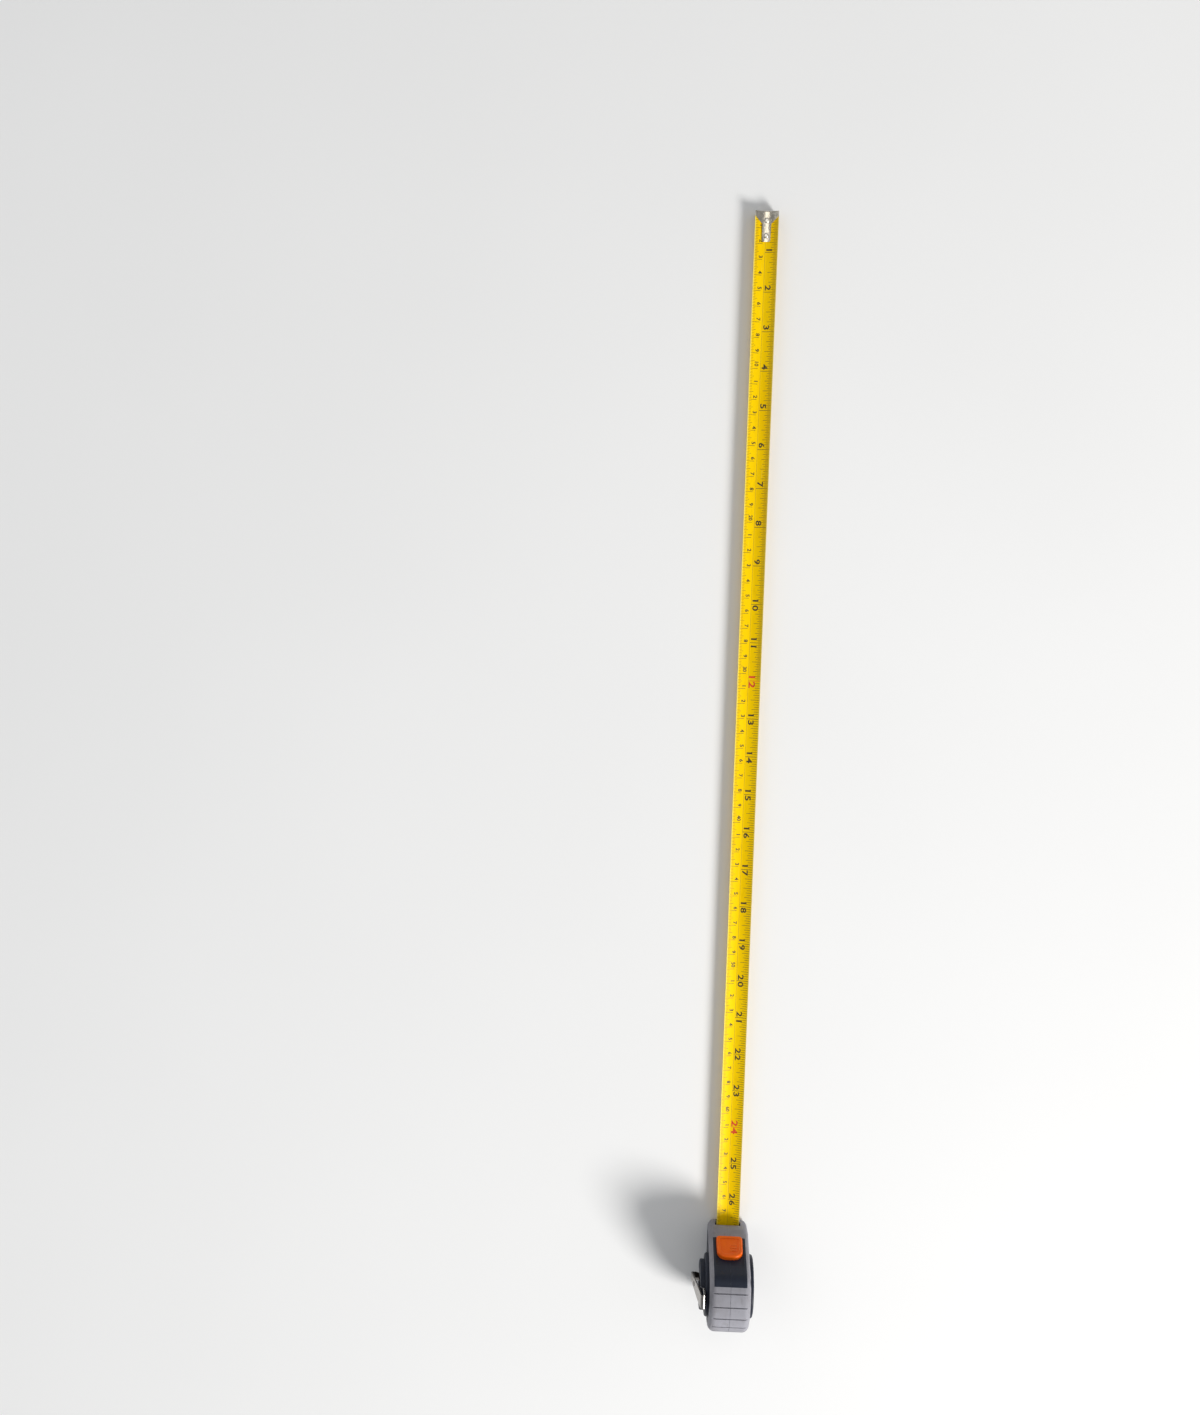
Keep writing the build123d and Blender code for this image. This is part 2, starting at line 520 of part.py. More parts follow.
# ---- belt clip ----------------------------------------------------------------------
y_foot = HALF + DISC_H
c = CLIP_T / 2
foot = Line((y_foot + c, 22.0), (y_foot + c, 53.6))
bend = JernArc(foot @ 1, foot % 1, CLIP_BEND, -180 + CLIP_FLARE)
d = (bend % 1)
leg = Line(bend @ 1, (bend @ 1) + Vector(d.X, d.Y) * CLIP_LEG)
curl = JernArc(leg @ 1, leg % 1, 1.7, -145)
lip_dir = curl % 1
tail = Line(curl @ 1, (curl @ 1) + Vector(lip_dir.X, lip_dir.Y) * 3.4)
path = Wire([foot.edge(), bend.edge(), leg.edge(), curl.edge(), tail.edge()])
print("clip leg ends", leg @ 1, "curl", curl @ 1, "tail", tail @ 1)
prof = Plane(origin=(y_foot + c, 22.0, 0), x_dir=(1, 0, 0), z_dir=(0, 1, 0)) * Rectangle(CLIP_T, CLIP_W)
clip = Plane(origin=(REEL_X, 0, 0), x_dir=(0, 1, 0), z_dir=(1, 0, 0)) * sweep(prof, path=path)
# the outer leg narrows toward its free end, and the foot's end is rounded
hw = CLIP_W / 2
for s in (1, -1):
    taper = poly_xz([(REEL_X + s * (hw + 1), 42.0), (REEL_X + s * (hw + 0.001), 42.0), (REEL_X + s * 2.6, 19.4), (REEL_X + s * 1.7, 15.0), (REEL_X + s * (hw + 1), 15.0)])
    clip = clip - xz(taper, y_foot + CLIP_T + 0.6, y_foot + 20)
    ear = poly_xz([(REEL_X + s * (hw + 1), 24.6), (REEL_X + s * hw, 24.6), (REEL_X + s * (hw - 2.4), 21.0), (REEL_X + s * (hw + 1), 21.0)])
    clip = clip - xz(ear, y_foot - 1, y_foot + CLIP_T + 0.1)
clip = clip - cyl_y(1.65, y_foot - 1, y_foot + 1.5)
# hole in the outer leg for the screwdriver
clip = clip - cyl_y(1.8, y_foot + 1.5, y_foot + 12)
write("belt_clip", clip)

cs = cyl_y(2.5, y_foot + CLIP_T, y_foot + CLIP_T + 1.5)
rim = [e for e in cs.edges() if e.geom_type == GeomType.CIRCLE and abs(e.center().Y - (y_foot + CLIP_T + 1.5)) < 1e-3]
cs = fillet(rim, 0.8)
cs = cs + cyl_y(1.5, 4.0, y_foot + CLIP_T)
cs = cs - (box(REEL_X - 1.5, REEL_X + 1.5, y_foot + CLIP_T + 0.6, y_foot + 4, REEL_Z - 0.32, REEL_Z + 0.32) + box(REEL_X - 0.32, REEL_X + 0.32, y_foot + CLIP_T + 0.6, y_foot + 4, REEL_Z - 1.5, REEL_Z + 1.5))
write("belt_clip_screw", cs)
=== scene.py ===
import math
import random

import bmesh
import bpy
from mathutils import Matrix, Vector


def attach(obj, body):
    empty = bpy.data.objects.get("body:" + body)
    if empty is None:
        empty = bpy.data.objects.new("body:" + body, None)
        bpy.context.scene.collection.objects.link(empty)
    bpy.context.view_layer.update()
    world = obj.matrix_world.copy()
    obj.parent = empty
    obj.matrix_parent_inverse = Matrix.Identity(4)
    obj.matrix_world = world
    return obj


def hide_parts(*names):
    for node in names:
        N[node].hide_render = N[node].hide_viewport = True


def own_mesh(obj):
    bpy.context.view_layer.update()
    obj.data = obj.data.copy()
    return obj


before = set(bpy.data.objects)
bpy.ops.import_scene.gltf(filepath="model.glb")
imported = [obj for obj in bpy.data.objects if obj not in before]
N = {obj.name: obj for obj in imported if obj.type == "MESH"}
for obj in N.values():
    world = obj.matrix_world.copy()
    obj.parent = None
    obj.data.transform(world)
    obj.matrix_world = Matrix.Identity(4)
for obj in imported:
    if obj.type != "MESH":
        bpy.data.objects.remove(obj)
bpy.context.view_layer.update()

random.seed(7)

scene = bpy.context.scene

# ---- sizes shared with the CAD, metres ----------------------------------------------
MM = 0.001
NOSE_X = 31.5 * MM
DRAWN = 677.0 * MM
ZERO_X = NOSE_X + DRAWN            # the graduations' zero: the inside of the hook's lip
TIP_X = ZERO_X - 0.8 * MM          # the strip's end
JOINT_X = TIP_X - 24.0 * MM
LEAD_X = 13.0 * MM
BLADE_Z = 7.0 * MM
BLADE_R = 16.7 * MM
BLADE_T = 0.16 * MM
BLADE_W = 16.0 * MM
HALF_ANGLE = BLADE_W / BLADE_R / 2
REEL = Vector((-1.2, 0.0, 30.2)) * MM
COIL_R = 19.46 * MM


def new_object(name, mesh):
    o = bpy.data.objects.new(name, mesh)
    scene.collection.objects.link(o)
    return o


# ---- camera -------------------------------------------------------------------------
def make_camera():
    az, el, dist = math.radians(70.15333), math.radians(85.41846), 0.9484907
    target = Vector((0.38209446, 0.09866611, 0.0))
    roll = math.radians(1.7842)
    d = Vector((math.sin(az) * math.cos(el), -math.cos(az) * math.cos(el), math.sin(el)))
    loc = target + d * dist
    fwd = -d
    right = fwd.cross(Vector((1, 0, 0))).normalized()
    up = right.cross(fwd)
    r2 = right * math.cos(roll) + up * math.sin(roll)
    u2 = -right * math.sin(roll) + up * math.cos(roll)
    data = bpy.data.cameras.new("camera")
    data.sensor_fit = "VERTICAL"
    data.sensor_height = 36.0
    data.lens = 1407.52 / 1415.0 * 36.0
    data.clip_start, data.clip_end = 0.02, 20
    o = bpy.data.objects.new("camera", data)
    scene.collection.objects.link(o)
    m = Matrix((r2, u2, -fwd)).transposed().to_4x4()
    m.translation = loc
    o.matrix_world = m
    scene.camera = o


make_camera()


# ---- node helpers -------------------------------------------------------------------
class Mat:
    """Small helper round a node material: every texture reads object coordinates, in metres."""

    def __init__(self, name):
        self.m = bpy.data.materials.new(name)
        self.m.use_nodes = True
        self.t = self.m.node_tree
        self.n = self.t.nodes
        self.l = self.t.links
        self.bsdf = self.n["Principled BSDF"]
        self.coord = self.n.new("ShaderNodeTexCoord")
        self.obj = self.coord.outputs["Object"]

    def set(self, **kw):
        names = {"rough": "Roughness", "metal": "Metallic", "coat": "Coat Weight", "coat_rough": "Coat Roughness",
                 "ior": "IOR", "spec": "Specular IOR Level", "sheen": "Sheen Weight", "aniso": "Anisotropic",
                 "sheen_rough": "Sheen Roughness", "aniso_rot": "Anisotropic Rotation"}
        for k, v in kw.items():
            self.bsdf.inputs[names[k]].default_value = v
        return self

    def mapping(self, scale=(1, 1, 1), rot=(0, 0, 0), loc=(0, 0, 0), vec=None):
        m = self.n.new("ShaderNodeMapping")
        m.inputs["Scale"].default_value = scale
        m.inputs["Rotation"].default_value = rot
        m.inputs["Location"].default_value = loc
        self.l.new(vec or self.obj, m.inputs["Vector"])
        return m.outputs[0]

    def noise(self, scale, detail=3.0, rough=0.55, vec=None, dist=0.0):
        t = self.n.new("ShaderNodeTexNoise")
        t.inputs["Scale"].default_value = scale
        t.inputs["Detail"].default_value = detail
        t.inputs["Roughness"].default_value = rough
        t.inputs["Distortion"].default_value = dist
        self.l.new(vec or self.obj, t.inputs["Vector"])
        return t.outputs["Fac"]

    def voronoi(self, scale, feature="F1", vec=None):
        t = self.n.new("ShaderNodeTexVoronoi")
        t.feature = feature
        t.inputs["Scale"].default_value = scale
        self.l.new(vec or self.obj, t.inputs["Vector"])
        return t.outputs["Distance"]

    def ramp(self, fac, stops, interp="LINEAR"):
        r = self.n.new("ShaderNodeValToRGB")
        r.color_ramp.interpolation = interp
        e = r.color_ramp.elements
        while len(e) > 1:
            e.remove(e[-1])
        for i, (pos, col) in enumerate(stops):
            el = e[0] if i == 0 else e.new(pos)
            el.position = pos
            c = (col, col, col) if isinstance(col, (int, float)) else col
            el.color = (*c, 1)
        self.l.new(fac, r.inputs["Fac"])
        return r.outputs["Color"]

    def mix(self, a, b, fac, blend="MIX"):
        m = self.n.new("ShaderNodeMix")
        m.data_type = "RGBA"
        m.blend_type = blend
        for v, s in ((fac, m.inputs[0]), (a, m.inputs[6]), (b, m.inputs[7])):
            if isinstance(v, bpy.types.NodeSocket):
                self.l.new(v, s)
            elif isinstance(v, (int, float)):
                s.default_value = v if s == m.inputs[0] else (v, v, v, 1)
            else:
                s.default_value = (*v, 1)
        return m.outputs[2]

    def math(self, op, a, b=0.0, clamp=False):
        m = self.n.new("ShaderNodeMath")
        m.operation = op
        m.use_clamp = clamp
        for v, s in ((a, m.inputs[0]), (b, m.inputs[1])):
            if isinstance(v, bpy.types.NodeSocket):
                self.l.new(v, s)
            else:
                s.default_value = v
        return m.outputs[0]

    def map_range(self, v, a, b, c, d):
        m = self.n.new("ShaderNodeMapRange")
        m.clamp = True
        self.l.new(v, m.inputs["Value"])
        for k, x in zip(("From Min", "From Max", "To Min", "To Max"), (a, b, c, d)):
            m.inputs[k].default_value = x
        return m.outputs[0]

    def xyz(self, vec=None):
        s = self.n.new("ShaderNodeSeparateXYZ")
        self.l.new(vec or self.obj, s.inputs[0])
        return s.outputs

    def bump(self, height, strength, distance, under=None):
        b = self.n.new("ShaderNodeBump")
        b.inputs["Strength"].default_value = strength
        b.inputs["Distance"].default_value = distance
        self.l.new(height, b.inputs["Height"])
        if under is not None:
            self.l.new(under, b.inputs["Normal"])
        return b.outputs[0]

    def edges(self, radius, low=0.02, high=0.16):
        """1 along convex and concave edges, 0 on flats: how far a rounded normal leans from the real one."""
        b = self.n.new("ShaderNodeBevel")
        b.samples = 4
        b.inputs["Radius"].default_value = radius
        g = self.n.new("ShaderNodeNewGeometry")
        d = self.n.new("ShaderNodeVectorMath")
        d.operation = "DOT_PRODUCT"
        self.l.new(b.outputs[0], d.inputs[0])
        self.l.new(g.outputs["Normal"], d.inputs[1])
        return self.map_range(self.math("SUBTRACT", 1.0, d.outputs["Value"]), low, high, 0.0, 1.0)

    def colour(self, socket):
        self.l.new(socket, self.bsdf.inputs["Base Color"])
        return self

    def rough(self, socket):
        self.l.new(socket, self.bsdf.inputs["Roughness"])
        return self

    def normal(self, socket):
        self.l.new(socket, self.bsdf.inputs["Normal"])
        return self


def srgb(r, g, b):
    out = []
    for v in (r, g, b):
        v /= 255.0
        out.append(v / 12.92 if v <= 0.04045 else ((v + 0.055) / 1.055) ** 2.4)
    return tuple(out)


# ---- materials ----------------------------------------------------------------------
def case_abs():
    """Dark blue-black ABS with a fine spark texture and a few pale rubs."""
    m = Mat("case_abs")
    grain = m.noise(2600, 2.0, 0.5)
    broad = m.noise(55, 4.0, 0.6)
    scuffs = m.noise(900, 5.0, 0.7, vec=m.mapping(scale=(0.25, 1.0, 1.6), rot=(0.3, 0.5, 0.2)))
    base = m.ramp(broad, [(0.3, srgb(25, 30, 43)), (0.7, srgb(33, 40, 56))])
    rubs = m.ramp(scuffs, [(0.64, 0.0), (0.76, 0.4)])
    worn = m.math("MULTIPLY", m.edges(0.00045), m.map_range(m.noise(420, 4.0, 0.65), 0.42, 0.66, 0.06, 0.62))
    m.colour(m.mix(m.mix(base, srgb(78, 85, 100), rubs), srgb(98, 103, 116), worn))
    m.rough(m.map_range(broad, 0.25, 0.75, 0.40, 0.56))
    m.normal(m.bump(grain, 0.55, 0.00009, m.bump(broad, 0.15, 0.0002)))
    return m.set(spec=0.28).m


def grip_rubber():
    """Light grey TPR: a fine matt grain, handling marks and slight unevenness."""
    m = Mat("grip_rubber")
    grain = m.noise(1900, 3.0, 0.6)
    pits = m.voronoi(1500)
    broad = m.noise(38, 5.0, 0.62)
    marks = m.noise(240, 4.0, 0.65, vec=m.mapping(scale=(0.5, 1.0, 0.5)))
    base = m.ramp(broad, [(0.28, srgb(127, 125, 130)), (0.5, srgb(142, 141, 148)), (0.74, srgb(156, 156, 165))])
    dirty = m.ramp(marks, [(0.55, 0.0), (0.75, 0.45)])
    rubbed = m.math("MULTIPLY", m.edges(0.0005), m.map_range(m.noise(300, 4.0, 0.65), 0.40, 0.66, 0.1, 0.6))
    m.colour(m.mix(m.mix(base, srgb(104, 99, 97), dirty), srgb(178, 178, 186), rubbed))
    m.rough(m.map_range(broad, 0.25, 0.75, 0.62, 0.80))
    m.normal(m.bump(grain, 0.6, 0.00010, m.bump(pits, 0.4, 0.00009)))
    return m.set(spec=0.35, sheen=0.08, sheen_rough=0.5).m


def button_plastic():
    """Orange button: satin, finely textured, paler along its edges: a painted highlight standing for the bevel
    catching the light, partly thumb polish.
    """
    m = Mat("button_plastic")
    grain = m.noise(2300, 2.0, 0.5)
    broad = m.noise(120, 4.0, 0.6)
    base = m.ramp(broad, [(0.3, srgb(234, 92, 4)), (0.7, srgb(246, 107, 8))])
    worn = m.ramp(m.noise(420, 4.0, 0.7), [(0.62, 0.0), (0.78, 0.35)])
    # painted highlight: the edges are mixed pale as if the bevel caught the light, partly thumb polish
    rim = m.math("MULTIPLY", m.edges(0.0005), m.map_range(m.noise(500, 4.0, 0.65), 0.35, 0.65, 0.25, 0.8))
    m.colour(m.mix(m.mix(base, srgb(232, 128, 56), worn), srgb(240, 158, 92), rim))
    m.rough(m.map_range(broad, 0.25, 0.75, 0.34, 0.48))
    m.normal(m.bump(grain, 0.35, 0.00006))
    return m.set(spec=0.24).m


def plain_plastic(name, a, b, rough=(0.4, 0.55), bump=0.2):
    m = Mat(name)
    broad = m.noise(90, 4.0, 0.6)
    grain = m.noise(2000, 2.0, 0.5)
    m.colour(m.ramp(broad, [(0.3, a), (0.7, b)]))
    m.rough(m.map_range(broad, 0.25, 0.75, *rough))
    m.normal(m.bump(grain, bump, 0.00004))
    return m.set(spec=0.45).m


def label_film():
    """Satin label with a faint spun pattern, a ring of plain ticks and an orange ring."""
    m = Mat("label_film")
    v = m.mapping(loc=(-REEL.x, 0, -REEL.z))
    s = m.xyz(v)
    r = m.math("SQRT", m.math("ADD", m.math("MULTIPLY", s[0], s[0]), m.math("MULTIPLY", s[2], s[2])))
    rings = m.math("SINE", m.math("MULTIPLY", r, 42000.0))
    rim = m.map_range(r, 0.0143, 0.0146, 0.0, 1.0)
    broad = m.noise(70, 4.0, 0.6)
    base = m.ramp(broad, [(0.3, srgb(58, 63, 74)), (0.7, srgb(72, 78, 90))])
    # plain ticks round the label, a long one every fifth
    turn = m.math("DIVIDE", m.math("ARCTAN2", s[2], s[0]), 2 * math.pi)

    def dashes(count, share, r_in, r_out):
        f = m.math("FRACT", m.math("ADD", m.math("MULTIPLY", turn, float(count)), 0.5 + 4.0 * count))
        on = m.math("LESS_THAN", m.math("ABSOLUTE", m.math("SUBTRACT", f, 0.5)), share)
        return m.math("MULTIPLY", on, m.math("MULTIPLY", m.math("GREATER_THAN", r, r_in), m.math("LESS_THAN", r, r_out)))

    ticks = m.math("MAXIMUM", dashes(60, 0.10, 0.0127, 0.0137), dashes(12, 0.030, 0.0117, 0.0137))
    wear = m.map_range(m.noise(600, 4.0, 0.7), 0.35, 0.7, 1.0, 0.55)
    inner = m.math("MULTIPLY", m.math("GREATER_THAN", r, 0.0099), m.math("LESS_THAN", r, 0.0103))
    base = m.mix(base, srgb(214, 112, 40), m.math("MULTIPLY", inner, wear))
    base = m.mix(base, srgb(196, 196, 200), m.math("MULTIPLY", ticks, wear))
    m.colour(m.mix(base, srgb(150, 150, 156), rim))
    m.rough(m.map_range(broad, 0.25, 0.75, 0.38, 0.52))
    m.normal(m.bump(rings, 0.12, 0.00002, m.bump(m.noise(1400, 2.0, 0.5), 0.1, 0.00003)))
    return m.set(spec=0.4).m


def steel(name, light, dark, rough=(0.22, 0.38), stretch=(1, 1, 1), brush=0.25, spots=None, wavy=(130, 0.12, 0.0001)):
    m = Mat(name)
    lines = m.noise(2600, 3.0, 0.6, vec=m.mapping(scale=stretch))
    broad = m.noise(130, 4.0, 0.6)
    base = m.ramp(broad, [(0.3, dark), (0.7, light)])
    if spots:
        tarnish = m.ramp(m.noise(330, 5.0, 0.7), [(0.60, 0.0), (0.76, 0.6)])
        base = m.mix(base, spots, tarnish)
    base = m.mix(base, tuple(min(1.0, c * 1.25) for c in light), m.math("MULTIPLY", m.edges(0.00022), 0.6))
    m.colour(base)
    m.rough(m.math("ADD", m.map_range(broad, 0.25, 0.75, *rough), m.map_range(lines, 0.3, 0.7, -0.05, 0.07)))
    dents = m.noise(wavy[0], 3.0, 0.55)
    m.normal(m.bump(lines, brush, 0.00002, m.bump(dents, wavy[1], wavy[2])))
    return m.set(metal=1.0).m


def blade_lacquer():
    """Yellow stoved lacquer over steel: clear-coated, slightly uneven, with fine lengthways scratches and grime."""
    m = Mat("blade_lacquer")
    s = m.xyz()
    broad = m.noise(26, 5.0, 0.6, vec=m.mapping(scale=(0.35, 1.4, 1.4)))
    fine = m.noise(1500, 3.0, 0.6)
    scratch = m.noise(900, 4.0, 0.7, vec=m.mapping(scale=(0.03, 2.2, 1.0)))
    base = m.ramp(broad, [(0.28, srgb(236, 190, 2)), (0.52, srgb(244, 203, 4)), (0.76, srgb(250, 212, 8))])
    grime = m.ramp(m.noise(160, 5.0, 0.68, vec=m.mapping(scale=(0.4, 1.0, 1.0))), [(0.56, 0.0), (0.78, 0.35)])
    base = m.mix(base, srgb(170, 128, 14), grime)
    lines = m.ramp(scratch, [(0.66, 0.0), (0.72, 0.4)])
    base = m.mix(base, srgb(252, 224, 110), lines)
    # painted highlight: both edges of the strip are mixed pale, as if the raised rims caught the light, over a narrow
    # unprinted margin
    edge = m.math("ABSOLUTE", s[1])
    rim = m.map_range(edge, 0.00680, 0.00700, 0.0, 0.62)
    base = m.mix(base, srgb(240, 225, 112), rim)
    # painted shade: the inch half (-Y) is mixed darker, as if its side of the trough were turned from the light
    painted_shade_inch_half = m.map_range(s[1], -0.0006, 0.0004, 0.34, 0.0)
    base = m.mix(base, srgb(196, 156, 0), painted_shade_inch_half)
    m.colour(base)
    m.rough(m.map_range(broad, 0.25, 0.75, 0.38, 0.50))
    m.normal(m.bump(fine, 0.18, 0.00003, m.bump(scratch, 0.15, 0.00003)))
    m.bsdf.inputs["Specular Tint"].default_value = (1.0, 0.79, 0.08, 1)
    return m.set(spec=0.36, coat=0.01, coat_rough=0.3).m


def ink(name, a, b):
    m = Mat(name)
    wear = m.noise(700, 5.0, 0.7)
    m.colour(m.ramp(wear, [(0.35, a), (0.72, b)]))
    m.rough(m.map_range(wear, 0.3, 0.7, 0.42, 0.6))
    m.normal(m.bump(m.noise(1800, 2.0, 0.5), 0.15, 0.00002))
    return m.set(spec=0.45).m


MATS = {
    "case_abs": case_abs(),
    "grip_rubber": grip_rubber(),
    "label_film": label_film(),
    "button": button_plastic(),
    "natural": plain_plastic("natural_plastic", srgb(214, 210, 196), srgb(228, 224, 212)),
    "reel": plain_plastic("reel_plastic", srgb(196, 196, 192), srgb(210, 210, 206)),
    "brake": plain_plastic("brake_plastic", srgb(206, 200, 186), srgb(220, 214, 200)),
    "liner": plain_plastic("liner_film", srgb(224, 222, 210), srgb(232, 230, 220), (0.3, 0.4), 0.1),
    "bumper": plain_plastic("bumper_rubber", srgb(26, 26, 27), srgb(38, 38, 40), (0.7, 0.85), 0.4),
    "screw": steel("screw_steel", (0.50, 0.50, 0.52), (0.34, 0.34, 0.35), (0.28, 0.42)),
    "spring": steel("spring_steel", (0.20, 0.23, 0.30), (0.12, 0.14, 0.2), (0.25, 0.4)),
    "clip": steel("clip_steel", (0.34, 0.32, 0.30), (0.20, 0.185, 0.17), (0.18, 0.32), (1.0, 1.0, 0.04), 0.3, (0.26, 0.23, 0.20), (160, 0.3, 0.00015)),
    "hook": steel("hook_steel", (0.70, 0.65, 0.56), (0.34, 0.31, 0.26), (0.14, 0.30), (0.05, 1.0, 1.0), 0.3, (0.30, 0.25, 0.18), (300, 0.55, 0.00022)),
    "rivet": steel("rivet_steel", (0.74, 0.71, 0.65), (0.52, 0.49, 0.44), (0.24, 0.4)),
    "blade": blade_lacquer(),
    "ink": ink("ink_black", srgb(34, 29, 8), srgb(92, 76, 10)),
    "red": ink("ink_red", srgb(196, 40, 8), srgb(216, 88, 16)),
    "soft": ink("ink_soft", srgb(150, 118, 6), srgb(188, 150, 8)),
}


def dress(node, mat):
    o = N[node]
    if not o.material_slots:
        o.data.materials.append(mat)
    for s in o.material_slots:
        s.material = mat


for node, key in {
    "case_left": "case_abs", "case_right": "case_abs", "grip_left": "grip_rubber", "grip_right": "grip_rubber",
    "side_label": "label_film", "case_screws": "screw", "belt_clip": "clip", "belt_clip_screw": "screw",
    "arbor": "natural", "reel_drum": "reel", "reel_cover": "reel", "return_spring": "spring",
    "reel_liner_left": "liner", "reel_liner_right": "liner", "blade_coil": "blade", "end_hook": "hook",
    "hook_rivets": "rivet", "mouth_bumper": "bumper", "lock_button": "button", "lock_brake": "brake",
    "blade": "blade", "blade_end": "blade",
}.items():
    if node in N:
        dress(node, MATS[key])


# ---- the blade ----------------------------------------------------------------------
ZC = BLADE_Z + BLADE_R             # height of the trough's centre of curvature


def on_trough(s, lift=0.0):
    """Point of the strip's hollow face at arc length s from its middle, +Y positive, raised by lift."""
    a = s / BLADE_R
    r = BLADE_R - BLADE_T - lift
    return r * math.sin(a), ZC - r * math.cos(a)


def strip_rows(bm, xs, section):
    """Closed skin through one closed loop of points for each x."""
    loops = [[bm.verts.new((x, y, z)) for y, z in section(x)] for x in xs]
    n = len(loops[0])
    for a, b in zip(loops, loops[1:]):
        for i in range(n):
            j = (i + 1) % n
            bm.faces.new((a[i], a[j], b[j], b[i]))
    bm.faces.new(loops[0][::-1])
    bm.faces.new(loops[-1])
    return loops


def section_at(shape, z_mid, count=28, trim=0.0):
    """Closed loop across the strip. shape is 1 for the full trough and 0 for flat."""
    pts = []
    half = BLADE_W / 2 - trim
    ss = [-half + 2 * half * k / count for k in range(count + 1)]
    for s in ss:
        y, z = on_trough(s, -BLADE_T)
        yf, zf = s, BLADE_Z
        pts.append((yf + (y - yf) * shape, z_mid + (zf + (z - zf) * shape - BLADE_Z)))
    top = []
    for s in ss:
        y, z = on_trough(s, 0.0)
        yf, zf = s, BLADE_Z + BLADE_T
        top.append((yf + (y - yf) * shape, z_mid + (zf + (z - zf) * shape - BLADE_Z)))
    return pts + top[::-1]


def conform(x, s, lift):
    y, z = on_trough(s, lift)
    return (x, y, z)


INK_LOW, INK_HIGH = -0.02 * MM, 0.014 * MM


def tick(bm, x, s0, s1, width, mat):
    """A printed line across the strip at x, from arc length s0 to s1: a thin closed slab that follows the trough."""
    n = max(1, round(abs(s1 - s0) / (0.75 * MM)))
    rows = []
    for k in range(n + 1):
        s = s0 + (s1 - s0) * k / n
        rows.append([bm.verts.new(conform(xx, s, lift)) for xx, lift in
                     ((x - width / 2, INK_LOW), (x + width / 2, INK_LOW), (x + width / 2, INK_HIGH), (x - width / 2, INK_HIGH))])
    faces = []
    for a, b in zip(rows, rows[1:]):
        for i in range(4):
            j = (i + 1) % 4
            faces.append(bm.faces.new((a[i], a[j], b[j], b[i])))
    faces.append(bm.faces.new(rows[0][::-1]))
    faces.append(bm.faces.new(rows[-1]))
    for f in faces:
        f.material_index = mat


def line_along(bm, x0, x1, s, width, mat):
    """A printed line along the strip."""
    rows = []
    n = max(1, int((x1 - x0) / 0.05))
    for k in range(n + 1):
        x = x0 + (x1 - x0) * k / n
        rows.append([bm.verts.new(conform(x, ss, lift)) for ss, lift in
                     ((s - width / 2, INK_LOW), (s + width / 2, INK_LOW), (s + width / 2, INK_HIGH), (s - width / 2, INK_HIGH))])
    faces = []
    for a, b in zip(rows, rows[1:]):
        for i in range(4):
            j = (i + 1) % 4
            faces.append(bm.faces.new((a[i], a[j], b[j], b[i])))
    faces.append(bm.faces.new(rows[0][::-1]))
    faces.append(bm.faces.new(rows[-1]))
    for f in faces:
        f.material_index = mat


_glyphs = {}


def glyph(text, bold):
    """Flat outline of a numeral as vertices and polygons, about 1 unit tall, centred."""
    key = (text, bold)
    if key in _glyphs:
        return _glyphs[key]
    cu = bpy.data.curves.new("glyph", "FONT")
    cu.body = text
    cu.size = 1.0
    cu.resolution_u = 4
    cu.offset = 0.028 if bold else 0.008
    cu.fill_mode = "BOTH"
    cu.extrude = 0.5
    o = bpy.data.objects.new("glyph", cu)
    scene.collection.objects.link(o)
    bpy.context.view_layer.update()
    dg = bpy.context.evaluated_depsgraph_get()
    me = bpy.data.meshes.new_from_object(o.evaluated_get(dg))
    bpy.data.objects.remove(o)
    bpy.data.curves.remove(cu)
    bm = bmesh.new()
    bm.from_mesh(me)
    bpy.data.meshes.remove(me)
    bmesh.ops.remove_doubles(bm, verts=bm.verts, dist=1e-5)
    xs = [v.co.x for v in bm.verts]
    ys = [v.co.y for v in bm.verts]
    cx, cy, h, w = (min(xs) + max(xs)) / 2, (min(ys) + max(ys)) / 2, max(ys) - min(ys), max(xs) - min(xs)
    for v in bm.verts:
        v.co = ((v.co.x - cx) / h, (v.co.y - cy) / h, v.co.z)
    for k in range(1, 7):
        c = -0.5 + k / 7
        bmesh.ops.bisect_plane(bm, geom=list(bm.verts) + list(bm.edges) + list(bm.faces), dist=1e-6, plane_co=(0, c, 0), plane_no=(0, 1, 0))
    bmesh.ops.triangulate(bm, faces=[f for f in bm.faces if len(f.verts) > 4])
    bm.verts.index_update()
    verts = [tuple(v.co) for v in bm.verts]
    faces = [tuple(v.index for v in f.verts) for f in bm.faces]
    bm.free()
    _glyphs[key] = (verts, faces, w / h)
    return _glyphs[key]


def numeral(bm, text, x, s, height, mat, bold=False, stretch=1.0):
    """Prints a numeral at x and arc length s. It reads towards -X, and its top is towards -Y."""
    verts, faces, w = glyph(text, bold)
    made = []
    for gx, gy, gz in verts:
        lift = INK_HIGH if gz > 0 else INK_LOW
        made.append(bm.verts.new(conform(x - gx * height * stretch, s - gy * height, lift)))
    for f in faces:
        try:
            nf = bm.faces.new([made[i] for i in f])
            nf.material_index = mat
        except ValueError:
            pass


BLACK, RED, SOFT = 1, 2, 3
EDGE_S = BLADE_W / 2 - 0.45 * MM


